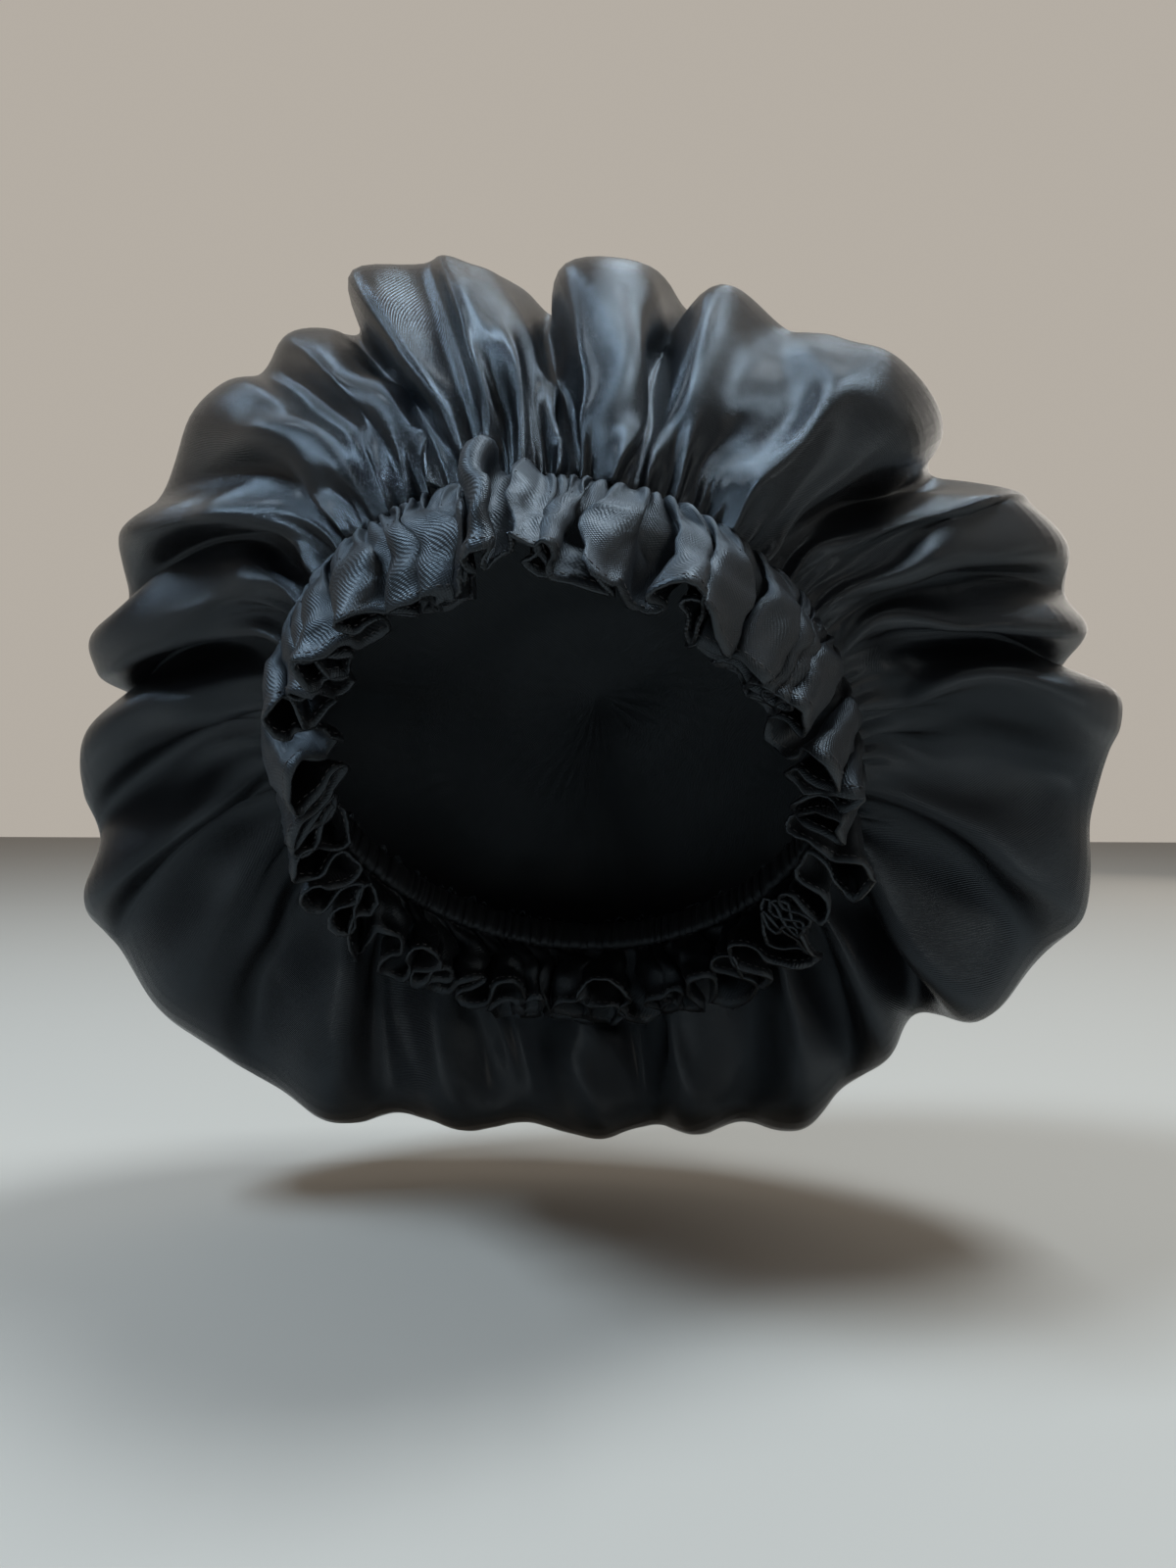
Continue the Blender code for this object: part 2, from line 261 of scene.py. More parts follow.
# The room: its colour on the camera's side and behind the bonnet
ROOM_DARK = (0.075, 0.075, 0.08, 1.0)
ROOM_PALE = (0.46, 0.42, 0.37, 1.0)


def read_round(rows, columns, at):
    """Reads a table that closes on itself at 360 degrees, with a smooth curve through its rows."""
    places = [row[0] for row in rows]
    count = len(rows)
    turn = floor((at - places[0]) / 360.0) * 360.0
    local = at - turn
    low = max(index for index in range(count) if places[index] <= local)

    def knot(index):
        lap, inside = divmod(index, count)
        row = rows[inside]
        return [row[0] + 360.0 * lap] + [
            value + (360.0 * lap if name == "rim" else 0.0)
            for name, value in zip(columns[1:], row[1:])
        ]

    before, start, end, after = (knot(low + step) for step in (-1, 0, 1, 2))
    gap = end[0] - start[0]
    share = (local - start[0]) / gap
    found = {"at": at}
    for column, name in enumerate(columns[1:], 1):
        rise_in = (end[column] - before[column]) / (end[0] - before[0]) * gap
        rise_out = (after[column] - start[column]) / (after[0] - start[0]) * gap
        found[name] = (
            (2 * share**3 - 3 * share**2 + 1) * start[column]
            + (share**3 - 2 * share**2 + share) * rise_in
            + (3 * share**2 - 2 * share**3) * end[column]
            + (share**3 - share**2) * rise_out
        )
    if "rim" in found:
        found["rim"] += turn
    return found


def opening_frame(at):
    """Gives the point of the elastic's line, the way outwards and the way along it."""
    angle = radians(at)
    half_breadth = OPENING_BREADTH / 2
    half_length = OPENING_LENGTH / 2
    point = ACROSS * (half_breadth * cos(angle)) + OPENING_ALONG * (half_length * sin(angle))
    along = ACROSS * (-half_breadth * sin(angle)) + OPENING_ALONG * (half_length * cos(angle))
    along.normalize()
    return point, OPENING_NORMAL.cross(along), along


def casing_size():
    """Gives half the casing's width and half its thickness, outside."""
    half_width = ELASTIC_WIDTH / 2 + CASING_ROOM + CASING_WALL
    half_thickness = ELASTIC_THICKNESS / 2 + CASING_ROOM + CASING_WALL
    return half_width, half_thickness


def crown_point(fold, share):
    """Gives a point of the crown: share 0 is the casing, 1 the rim, 2 the middle of the back."""
    middle = Vector((0.0, CROWN_DEPTH, CROWN_MIDDLE_HEIGHT))
    direction = radians(fold["rim"])
    evened = max(0.0, share - 1.0) ** BACK_EVENING
    reach = (fold["reach"] * (1.0 - evened) + BACK_REACH * evened) * CROWN_REACH
    aside = Vector((-sin(direction), 0.0, cos(direction))) * (fold["lean"] * LEAN_MOST)
    rim = Vector((reach * cos(direction), fold["back"] * CROWN_DEPTH, reach * sin(direction)))
    if share >= 1.0:
        turn = (share - 1.0) * pi / 2
        spread = cos(turn) ** BACK_TAPER if share < 2.0 else 0.0
        return Vector((
            rim.x * spread,
            rim.y + (middle.y - rim.y) * sin(turn),
            middle.z + (rim.z - middle.z) * spread,
        )) + aside * (LEAN_AT_RIM * cos(turn) ** 3)
    start, outward, along = opening_frame(fold["at"])
    half_width, _ = casing_size()
    start = start + OPENING_NORMAL * half_width
    rise = LEAVE_RISE + LEAVE_RISE_SWING * sin(radians(fold["at"]))
    span = (rim - start).length
    leave = start + (outward * cos(rise) + OPENING_NORMAL * sin(rise)) * (PUFF_LEAVE * span)
    arrive = rim - BACKWARD * ((PUFF_RIM - PUFF_RIM_SWING * sin(radians(fold["at"]))) * span)
    rest = 1.0 - share
    point = (
        start * rest**3
        + leave * (3 * rest**2 * share)
        + arrive * (3 * rest * share**2)
        + rim * share**3
    )
    slope = (
        (leave - start) * (3 * rest**2)
        + (arrive - leave) * (6 * rest * share)
        + (rim - arrive) * (3 * share**2)
    )
    outside = along.cross(slope.normalized()).normalized() * -1.0
    swell = sin(pi * share) ** FOLD_START * fold["puff"] * FOLD_HEIGHT
    tip = sin(pi * share / LEAN_SPAN) ** 2
    return point + outside * swell + aside * tip


def ring_shares():
    """Gives each ring's distance from the casing, as a share of the way to the middle."""
    return [(ring / CROWN_RINGS) ** RING_CROWDING for ring in range(CROWN_RINGS)]


def meridian(fold, shares):
    """Gives points along one fold line, spaced by length."""
    points = [
        crown_point(fold, 2.0 * step / MERIDIAN_SAMPLES)
        for step in range(MERIDIAN_SAMPLES + 1)
    ]
    lengths = [0.0]
    for here, there in zip(points, points[1:]):
        lengths.append(lengths[-1] + (there - here).length)
    total = lengths[-1]
    placed = []
    step = 0
    for share in shares:
        while lengths[step + 1] < share * total:
            step += 1
        inside = (share * total - lengths[step]) / (lengths[step + 1] - lengths[step])
        placed.append(points[step].lerp(points[step + 1], inside))
    return placed


def softened(loop, radius, start):
    """Gives one ring of points with only its wide folds, from some way out to the middle."""
    part = min(1.0, max(0.0, (start - radius) / SOFT_BACK_BLEND))
    waves = np.fft.rfft(loop, axis=0)
    kept = 2.0 + 2 * pi * radius / SOFT_BACK_FOLD
    waves /= (1.0 + (np.arange(len(waves)) / kept) ** 8)[:, None]
    return loop * (1.0 - part) + np.fft.irfft(waves, n=len(loop), axis=0) * part


def soften_back(lines, shares):
    """Leaves only wide folds near the middle of the back, where the cloth is not gathered."""
    for ring, share in enumerate(shares):
        radius = CASING_RADIUS * (1.0 - share)
        loop = softened(np.array([line[ring] for line in lines]), radius, SOFT_BACK_FROM)
        for line, point in zip(lines, loop):
            line[ring] = Vector(point)


def soften_middle(crown, places):
    """Evens the settled cloth round the middle of the back, where its columns meet."""
    points = np.empty(len(places) * 3)
    crown.data.vertices.foreach_get("co", points)
    points = points.reshape(-1, 3)
    radii = np.array([radius for radius, _ in places])
    for radius in np.unique(radii):
        ring = radii == radius
        if 1 < ring.sum() and radius < SOFT_MIDDLE_FROM:
            points[ring] = softened(points[ring], radius, SOFT_MIDDLE_FROM)
    crown.data.vertices.foreach_set("co", points.ravel())
    crown.data.update()


def crown_sheet():
    """Makes the crown's mesh: rings that drop to half as many columns as they near the middle."""
    shares = ring_shares()
    lines = [
        meridian(read_round(FOLDS, FOLD_COLUMNS, 360.0 * column / CROWN_COLUMNS), shares)
        for column in range(CROWN_COLUMNS)
    ]
    soften_back(lines, shares)
    points, places, rings, faces = [], [], [], []
    skip = 1
    for ring, share in enumerate(shares):
        radius = CASING_RADIUS * (1.0 - share)
        step_length = radius * 2 * pi * skip / CROWN_COLUMNS
        if step_length < FEWER_COLUMNS_UNDER and CROWN_COLUMNS % (skip * 2) == 0:
            skip *= 2
        here = []
        for column in range(0, CROWN_COLUMNS, skip):
            here.append(len(points))
            points.append(lines[column][ring])
            places.append((radius, 2 * pi * column / CROWN_COLUMNS))
        rings.append((skip, here))
    middle = len(points)
    points.append(crown_point(read_round(FOLDS, FOLD_COLUMNS, 0.0), 2.0))
    places.append((0.0, 0.0))
    for (skip_low, low), (skip_high, high) in zip(rings, rings[1:]):
        count = len(low)
        if skip_low == skip_high:
            for column in range(count):
                beside = (column + 1) % count
                faces.append((low[column], high[column], high[beside], low[beside]))
            continue
        for coarse in range(len(high)):
            first, second, third = (low[(2 * coarse + step) % count] for step in range(3))
            near, far = high[coarse], high[(coarse + 1) % len(high)]
            faces.extend(((first, near, second), (second, near, far), (second, far, third)))
    last = rings[-1][1]
    for column in range(len(last)):
        faces.append((last[column], middle, last[(column + 1) % len(last)]))
    return points, places, faces, len(rings[0][1])


def rest_point(radius, angle):
    """Gives a point of the cloth at rest: the flat circle, less what the fine pleats take up."""
    steps = 24
    way = CASING_RADIUS - radius
    height, before = 0.0, None
    for step in range(steps + 1):
        here = way * step / steps
        kept = GATHER_LEFT + (1.0 - GATHER_LEFT) * min(1.0, here / GATHER_SPREAD) ** 0.8
        ring = (CASING_RADIUS - here) * kept
        if before is not None:
            run = way / steps
            height += sqrt(max(0.0, run * run - (ring - before) ** 2))
        before = ring
    return Vector((ring * cos(angle), ring * sin(angle), height))


def new_object(name, points, faces):
    """Makes a mesh object in the scene."""
    mesh = bpy.data.meshes.new(name)
    mesh.from_pydata([tuple(point) for point in points], [], faces)
    mesh.update()
    made = bpy.data.objects.new(name, mesh)
    bpy.context.scene.collection.objects.link(made)
    return made


def mark_points(made, name, values):
    """Keeps a place for each point, which finer meshes take over."""
    mark = made.data.attributes.new(name, "FLOAT_VECTOR", "POINT")
    mark.data.foreach_set("vector", np.array(values, float).ravel())


def bake_modifiers(made):
    """Turns an object and its modifiers into a plain mesh."""
    made.update_tag()
    baked = bpy.data.meshes.new_from_object(
        made.evaluated_get(bpy.context.evaluated_depsgraph_get())
    )
    made.modifiers.clear()
    if made.data.shape_keys:
        made.shape_key_clear()
    made.data = baked


def relax_crown(crown, places, edge):
    """Lets the crown settle as cloth, puffed from inside, near the folds that it starts from."""
    crown.shape_key_add(name="worn")
    cut = crown.shape_key_add(name="cut")
    for index, place in enumerate(places):
        cut.data[index].co = rest_point(*place)
    held = crown.vertex_groups.new(name="held")
    held.add(list(range(edge)), 1.0, "REPLACE")
    held.add(list(range(edge, len(places))), GOAL_WEIGHT, "REPLACE")
    cloth = crown.modifiers.new("Cloth", "CLOTH")
    settings = cloth.settings
    settings.quality = 6
    settings.mass = CLOTH_VERTEX_MASS
    settings.air_damping = 4.0
    settings.tension_stiffness = settings.compression_stiffness = 15.0
    settings.shear_stiffness = 3.0
    settings.bending_stiffness = 0.10
    settings.tension_damping = settings.compression_damping = settings.shear_damping = 5.0
    settings.bending_damping = 0.5
    settings.vertex_group_mass = "held"
    settings.pin_stiffness = 1.0
    settings.use_pressure = True
    settings.uniform_pressure_force = CLOTH_PRESSURE
    settings.rest_shape_key = cut
    cloth.collision_settings.use_collision = False
    cloth.collision_settings.use_self_collision = False
    cloth.point_cache.frame_start = 1
    cloth.point_cache.frame_end = CLOTH_FRAMES
    scene = bpy.context.scene
    scene.frame_start, scene.frame_end = 1, CLOTH_FRAMES
    for number in range(1, CLOTH_FRAMES + 1):
        scene.frame_set(number)
    bake_modifiers(crown)
    scene.frame_set(1)


def uneven(count, seed, spread):
    """Gives a number near 1 for each of count pleats, the same each run."""
    return 1.0 + spread * (2.0 * np.random.default_rng(seed).random(count) - 1.0)


def smooth_round(values, wanted):
    """Reads evenly spaced values as a smooth closed curve at the wanted shares of a turn."""
    count = len(values)
    place = np.mod(wanted, 1.0) * count
    low = np.floor(place).astype(int) % count
    share = place - np.floor(place)
    share = share * share * (3.0 - 2.0 * share)
    return values[low] * (1.0 - share) + values[(low + 1) % count] * share


def pleat_phase(turn):
    """Gives the phase of the widest pleats at a share of a turn, slightly uneven in width."""
    drift = 0.9 * np.sin(2 * pi * (3 * turn + 0.13)) + 0.6 * np.sin(2 * pi * (7 * turn + 0.41))
    drift += 0.5 * np.sin(2 * pi * (13 * turn + 0.77))
    extra = 1.0 / (1.0 + np.exp(-(turn - NARROW_FOLDS_AT) / NARROW_FOLDS_SPAN))
    return 2 * pi * ((RUFFLE_FOLDS - 1) * turn + extra) + 2.0 * drift + PHASE_START


def ridges(places, rounding, level):
    """Gives soft ridges of noise at some places, even about the cloth's own form."""
    waves = np.array([noise.noise(Vector(place)) for place in places])
    return level - 4.0 * (np.sqrt(waves**2 + rounding**2) - rounding)


def creases(cut, away, turn):
    """Gives the height of the soft creases over the crown."""
    outwards = away / CASING_RADIUS
    round_way = np.stack((np.cos(2 * pi * turn), np.sin(2 * pi * turn)), axis=1) / (2 * pi)
    back = np.clip((away - BACK_STARTS) / (BACK_WHOLE - BACK_STARTS), 0.0, 1.0)
    back = back * back * (3.0 - 2.0 * back)
    front = np.minimum(1.0, away / CREASE_STARTS) * (1.0 - back)
    heights = np.zeros(len(away))
    for height, many_round, many_out, seed in CREASES:
        places = np.column_stack((round_way * many_round, outwards * many_out + seed))
        heights += height * front * ridges(places, CREASE_ROUNDING, CREASE_LEVEL) * 0.5
    for height, many, seed in BACK_CREASES:
        places = cut * many + seed
        heights += height * back * ridges(places, BACK_ROUNDING, BACK_LEVEL) * 0.5
    return heights


def pleat_crown(crown):
    """Presses the gathers into the crown: fine pleats at the casing that run into wider ones."""
    mesh = crown.data
    count = len(mesh.vertices)
    normals = np.empty(count * 3)
    mesh.vertex_normals.foreach_get("vector", normals)
    points = np.empty(count * 3)
    mesh.vertices.foreach_get("co", points)
    cut = np.empty(count * 3)
    mesh.attributes["cut_place"].data.foreach_get("vector", cut)
    normals, points, cut = (values.reshape(-1, 3) for values in (normals, points, cut))
    away = CASING_RADIUS - np.hypot(cut[:, 0], cut[:, 1])
    turn = np.mod(np.arctan2(cut[:, 1], cut[:, 0]) / (2 * pi), 1.0)
    push = np.zeros(count)
    for row, (pleats, height, peak, fade) in enumerate(PLEATS):
        phase = pleat_phase(turn) * pleats / RUFFLE_FOLDS
        wander = np.sin(2 * pi * (9 + row) * turn + 55.0 * away)
        wander += np.sin(2 * pi * 17 * turn - 80.0 * away)
        phase += PLEAT_WANDER * wander * np.minimum(1.0, away / PLEAT_WANDER_STARTS)
        strength = np.exp(-((away - peak) / fade) ** 2)
        strength = np.where(away < peak, PLEAT_LOW_END + (1.0 - PLEAT_LOW_END) * strength, strength)
        height_here = height * smooth_round(uneven(pleats, 11 + row, PLEAT_UNEVEN), turn)
        push += height_here * strength * (np.cos(phase) + 0.25 * np.cos(2 * phase))
    push += creases(cut, away, turn)
    points += normals * push[:, None]
    mesh.vertices.foreach_set("co", points.ravel())
    mesh.update()


def make_crown(satin, satin_back):
    """Makes the crown: folded sheet, relaxed as cloth, then pleated and given its thickness."""
    points, places, faces, edge = crown_sheet()
    started = [
        point + noise.noise_vector(point * 60.0) * (START_NOISE if index >= edge else 0.0)
        for index, point in enumerate(points)
    ]
    crown = new_object("satin_crown", started, faces)
    cut = [(radius * cos(angle), radius * sin(angle), 0.0) for radius, angle in places]
    mark_points(crown, "cut_place", cut)
    relax_crown(crown, places, edge)
    soften_middle(crown, places)
    finer = crown.modifiers.new("Finer", "SUBSURF")
    finer.levels = finer.render_levels = 1
    finer.boundary_smooth = "PRESERVE_CORNERS"
    bake_modifiers(crown)
    pleat_crown(crown)
    add_wall(crown, SATIN, -1.0)
    finish_cloth(crown, [satin, satin_back])
    return crown


def add_wall(made, thickness, offset):
    """Gives a sheet of cloth its thickness, with the wrong side of the cloth inside."""
    wall = made.modifiers.new("Wall", "SOLIDIFY")
    wall.thickness = thickness
    wall.offset = offset
    wall.use_even_offset = False
    wall.use_quality_normals = True
    wall.material_offset = 1
    wall.material_offset_rim = 0
    return wall


def finish_cloth(made, materials):
    """Gives a piece of cloth its materials, bakes it and shades it smooth."""
    made.data.materials.clear()
    for material in materials:
        made.data.materials.append(material)
    bake_modifiers(made)
    made.data.shade_smooth()


def opening_round():
    """Gives the length of the elastic's line."""
    points = [opening_frame(at)[0] for at in range(360)]
    return sum((there - here).length for here, there in zip(points, points[1:] + points[:1]))


def meander(folds, turn_most, seed, spread):
    """Gives the wave of cloth that is folded back and forth: share of a turn along, and height."""
    count = RUFFLE_FOLDS * STEPS_PER_FOLD
    share = np.arange(count) / count
    phase = pleat_phase(share) * folds / RUFFLE_FOLDS
    most = turn_most * smooth_round(uneven(folds, seed, spread), share)
    heading = most * np.cos(phase)
    along = np.cumsum(np.cos(heading))
    up = np.cumsum(np.sin(heading))
    scale = 1.0 / along[-1]
    window = 2 * STEPS_PER_FOLD * RUFFLE_FOLDS // folds
    weights = np.hanning(window + 1)
    weights /= weights.sum()
    wrapped = np.concatenate((up[-window:] - up[-1], up, up[:window] + up[-1]))
    up = up - np.convolve(wrapped, weights, "same")[window:-window]
    return along * scale, up * scale * opening_round()


def frames_at(turns):
    """Gives the opening's point, outward way and along way at shares of a turn, as arrays."""
    angle = 2 * pi * turns
    along_axis, normal, across = (
        np.array(axis) for axis in (OPENING_ALONG, OPENING_NORMAL, ACROSS)
    )
    wide, long = OPENING_BREADTH / 2, OPENING_LENGTH / 2
    point = across * (wide * np.cos(angle))[:, None] + along_axis * (long * np.sin(angle))[:, None]
    along = across * (-wide * np.sin(angle))[:, None] + along_axis * (long * np.cos(angle))[:, None]
    along /= np.linalg.norm(along, axis=1)[:, None]
    return point, np.cross(normal, along), along


def table_at(rows, columns, turns):
    """Reads a table at shares of a turn, as one array for each column."""
    places = range(0, 361)
    read = [read_round(rows, columns, float(at)) for at in places]
    return {
        name: np.interp(np.mod(turns, 1.0) * 360.0, places, [row[name] for row in read])
        for name in columns[1:]
    }


def ruffle_places():
    """Gives the ruffle's points, ring by ring: over the casing first, then on to the free edge."""
    fine_along, fine_up = meander(PUCKERS, PUCKER_TURN, 5, TURN_SPREAD)
    wide_along, wide_up = meander(RUFFLE_FOLDS, FOLD_TURN, 6, TURN_SPREAD)
    half_width, _ = casing_size()
    floor_height = ELASTIC_THICKNESS / 2 + CASING_ROOM + SATIN + CHANNEL_CLEAR
    normal = np.array(OPENING_NORMAL)
    wide_up = wide_up * RUFFLE_FLAT
    fine_most, wide_most = (np.percentile(np.abs(values), 90) for values in (fine_up, wide_up))
    fine_up = fine_up * smooth_round(uneven(PUCKERS // 2, 17, 0.45), fine_along)
    tumble = (smooth_round(uneven(RUFFLE_FOLDS // 2, 21, 1.0), wide_along) - 1.0) * RUFFLE_TUMBLE
    reach_each = smooth_round(uneven(RUFFLE_FOLDS * 2, 8, 0.06), wide_along)
    lean_each = smooth_round(uneven(RUFFLE_FOLDS, 9, 1.0), wide_along) - 1.0
    rings = []
    for ring in range(CHANNEL_RINGS + RUFFLE_RINGS):
        over = min(1.0, ring / CHANNEL_RINGS)
        share = max(0.0, (ring - CHANNEL_RINGS) / (RUFFLE_RINGS - 1))
        root = table_at(RUFFLE_LIES, RUFFLE_COLUMNS, wide_along)["root"]
        opened = CHANNEL_OPENED * over + 1.6 * share + np.maximum(0.0, root - ROOT_STANDS_OVER) * 1.3
        opened = np.minimum(1.0, opened)
        along = fine_along * (1.0 - opened) + wide_along * opened
        down = (ring / (CHANNEL_RINGS + RUFFLE_RINGS - 1)) * RUFFLE_CUT
        twist = np.array([
            noise.noise(Vector((cos(2 * pi * turn) * 6.0, sin(2 * pi * turn) * 6.0, down * RUFFLE_TWISTS_IN_METRE)))
            for turn in along
        ])
        along = along + tumble * wide_up * opened * min(1.0, 2.0 * share) / opening_round()
        along = along + twist * RUFFLE_TWIST * min(1.0, 2.0 * over) / opening_round()
        point, outward, _ = frames_at(along)
        lie = table_at(RUFFLE_LIES, RUFFLE_COLUMNS, along)
        grown = lie["flare"] * (lie["root"] + (1.0 - lie["root"]) * share**0.8)
        pinch = CHANNEL_PINCH + (1.0 - CHANNEL_PINCH) * min(1.0, over / 0.4) ** 0.7
        pinch *= 1.0 - (1.0 - SEAM_PINCH) * max(0.0, 1.0 - 4.0 * abs(over - 1.0) - 8.0 * share)
        wave = fine_up * (1.0 - opened) * pinch + wide_up * opened * grown
        above = floor_height * sin(pi * min(0.5, 0.15 + 0.8 * over)) + fine_most * 0.8 * pinch
        above = above + np.maximum(0.0, root - ROOT_STANDS_OVER) * wide_most * 0.8
        hung = wide_most * lie["flare"] - RUFFLE_CLEAR
        height = wave + above * (1.0 - share) + hung * share
        least = floor_height * sin(pi * min(0.5, 0.15 + 0.8 * over)) - share * 0.05
        height = np.where(height < least, least + (height - least) * 0.12, height)
        lean = np.radians(lie["lean"]) * min(1.0, 0.4 + 2.0 * share) + 0.30 * lean_each * share
        run = -normal * np.cos(lean)[:, None] - outward * np.sin(lean)[:, None]
        stand = outward * np.cos(lean)[:, None] - normal * np.sin(lean)[:, None]
        stand = outward * (1.0 - share) + stand * share
        depth = RUFFLE_DEPTH * share * lie["reach"] * (1.0 + (reach_each - 1.0) * share)
        start = point + normal * (half_width * (1.0 - 2.0 * over))
        placed = start + run * depth[:, None] + stand * height[:, None]
        dents = np.array([noise.noise_vector(Vector(place) * RUFFLE_DENTS_IN_METRE) for place in placed])
        rings.append(placed + dents * (RUFFLE_DENT * min(1.0, over, 0.35 + 2.0 * share)))
    return rings


def ring_faces(rings, columns, closed_section=False):
    """Gives the faces between rings of points that close on themselves."""
    faces = []
    last = rings if closed_section else rings - 1
    for ring in range(last):
        low, high = ring * columns, ((ring + 1) % rings) * columns
        for column in range(columns):
            beside = (column + 1) % columns
            faces.append((low + column, high + column, high + beside, low + beside))
    return faces


def make_ruffle(satin, satin_back):
    """Makes the ruffle: one strip of cloth folded back and forth, with a narrow rolled hem."""
    rings = ruffle_places()
    columns = len(rings[0])
    ruffle = new_object("satin_ruffle", np.concatenate(rings), ring_faces(len(rings), columns))
    hem = ruffle.vertex_groups.new(name="hem")
    for ring in range(len(rings)):
        weight = 1.0 if ring >= len(rings) - 2 else SATIN / HEM
        hem.add(list(range(ring * columns, (ring + 1) * columns)), weight, "REPLACE")
    cut = [
        (2 * pi * CASING_RADIUS * column / columns, RUFFLE_CUT * ring / (len(rings) - 1), 0.0)
        for ring in range(len(rings))
        for column in range(columns)
    ]
    mark_points(ruffle, "cut_place", cut)
    wall = add_wall(ruffle, HEM, 0.0)
    wall.vertex_group = "hem"
    finish_cloth(ruffle, [satin, satin_back])
    return ruffle, rings


def facing(rings, ring):
    """Gives the way that the ruffle's cloth faces along one of its rings."""
    line = rings[ring]
    along = np.roll(line, -1, axis=0) - np.roll(line, 1, axis=0)
    way = np.cross(rings[ring + 1] - line, along)
    return way / np.linalg.norm(way, axis=1)[:, None]


def casing_places():
    """Gives the casing's points: a tube of gathered cloth round the elastic."""
    fine_along, fine_up = meander(PUCKERS, PUCKER_TURN, 5, TURN_SPREAD)
    half_width, _ = casing_size()
    half_thickness = ELASTIC_THICKNESS / 2 + CASING_ROOM + SATIN
    normal = np.array(OPENING_NORMAL)
    point, outward, _ = frames_at(fine_along)
    wave = fine_up * smooth_round(uneven(PUCKERS // 2, 17, 0.55), fine_along)
    wave = wave / np.percentile(np.abs(wave), 90) * CASING_PUCKER
    rings = []
    for step in range(CASING_SECTION):
        angle = 2 * pi * step / CASING_SECTION
        past = half_width * (1 if cos(angle) > 0 else -1) * abs(cos(angle)) ** 0.55
        rise = abs(sin(angle)) ** 0.7 * (1 if sin(angle) >= 0 else -1)
        out = half_thickness * rise + wave * (0.4 if rise > 0 else 1.0) + min(0.0, rise) * CASING_PUCKER
        rings.append(point + outward * out[:, None] + normal * past)
    return rings


def make_casing(satin, satin_back):
    """Makes the casing: a gathered channel that the elastic runs in."""
    rings = casing_places()
    columns = len(rings[0])
    faces = ring_faces(len(rings), columns, True)
    casing = new_object("satin_casing", np.concatenate(rings), faces)
    cut = [
        (2 * pi * CASING_RADIUS * column / columns, 2 * CASING_CUT * ring / CASING_SECTION, 0.0)
        for ring in range(CASING_SECTION)
        for column in range(columns)
    ]
    mark_points(casing, "cut_place", cut)
    add_wall(casing, SATIN, -1.0)
    finish_cloth(casing, [satin, satin_back])
    return casing, rings


class Socket:
    """A node's output that adds, takes away, multiplies and divides as a number does."""

    def __init__(self, tree, output):
        self.tree = tree
        self.output = output

    def _math(self, kind, first, second):
        return self.tree.add("ShaderNodeMath", {"operation": kind}, {0: first, 1: second})

    def __add__(self, other):
        return self._math("ADD", self, other)

    def __sub__(self, other):
        return self._math("SUBTRACT", self, other)

    def __rsub__(self, other):
        return self._math("SUBTRACT", other, self)

    def __mul__(self, other):
        return self._math("MULTIPLY", self, other)

    def __truediv__(self, other):
        return self._math("DIVIDE", self, other)

    __radd__ = __add__
    __rmul__ = __mul__

    def sine(self):
        """Gives the sine."""
        return self._math("SINE", self, 0.0)


class Tree:
    """A tree of nodes, for a material or for Geometry Nodes."""

    def __init__(self, owner):
        self.nodes = owner.nodes
        self.links = owner.links

    def add(self, kind, settings=None, inputs=None, out=0):
        """Adds a node: its settings first, then the values or links of its sockets."""
        node = self.nodes.new(kind)
        for name, value in (settings or {}).items():
            setattr(node, name, value)
        for name, value in (inputs or {}).items():
            self.put(node.inputs[name], value)
        return Socket(self, node.outputs[out])

    def put(self, socket, value):
        """Links a socket or sets its value."""
        if isinstance(value, Socket):
            self.links.new(value.output, socket)
        else:
            socket.default_value = value


def new_finish(name):
    """Makes a material and gives it back with its tree and its Principled shader."""
    material = bpy.data.materials.new(name)
    material.use_nodes = True
    shader = next(node for node in material.node_tree.nodes if node.type == "BSDF_PRINCIPLED")
    return material, Tree(material.node_tree), shader


def twill(tree, place, threads):
    """Gives the height of a twill weave from the place on the cut cloth."""
    parts = tree.add("ShaderNodeSeparateXYZ", {}, {"Vector": place})
    across, along = (Socket(tree, parts.output.node.outputs[index]) for index in (0, 1))
    rib = ((across + along * 0.6) * threads).sine()
    yarn = ((along - across * 0.35) * (threads * 1.7)).sine()
    return rib * 0.6 + yarn * 0.4


